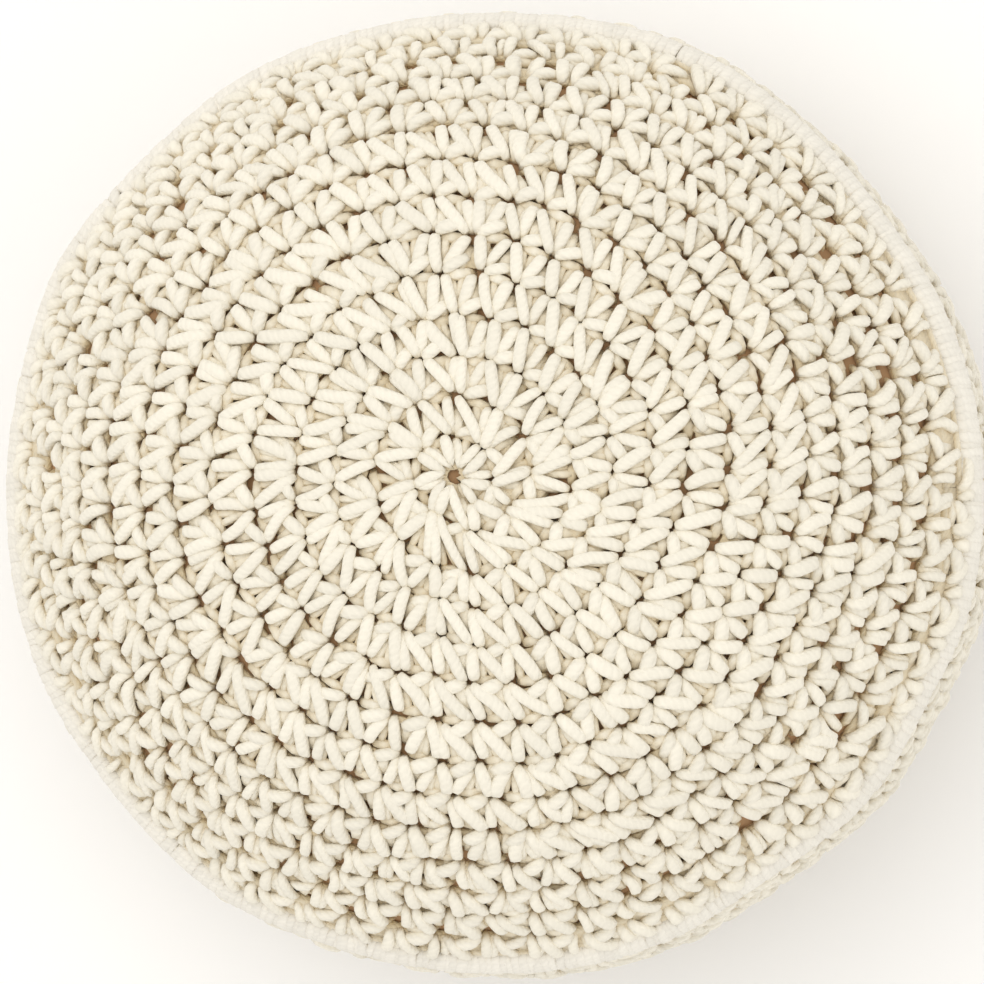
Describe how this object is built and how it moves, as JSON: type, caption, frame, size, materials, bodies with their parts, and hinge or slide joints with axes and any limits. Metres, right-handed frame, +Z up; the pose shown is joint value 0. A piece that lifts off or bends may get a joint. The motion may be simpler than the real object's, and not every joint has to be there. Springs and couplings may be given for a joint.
{
  "type": "round crochet floor pouf",
  "caption": "Round filled floor pouf covered in chunky natural cotton cord crocheted in rounds, with a raised ribbed round at the rim and a flat foot.",
  "frame": {"origin": "on the floor, under the middle of the pouf's bounding box", "axes": "+Z up through the crown; +X and +Y across the round"},
  "size_m": [0.5096, 0.4992, 0.3111],
  "materials": {
    "cotton_cord": "chunky unbleached cotton cord in single crochet, matt",
    "cotton_rim": "unbleached cotton cord in close upright stitches, matt"
  },
  "bodies": {
    "root": {"pouf_body": "cotton_cord", "rim_round": "cotton_rim"}
  },
  "joints": []
}
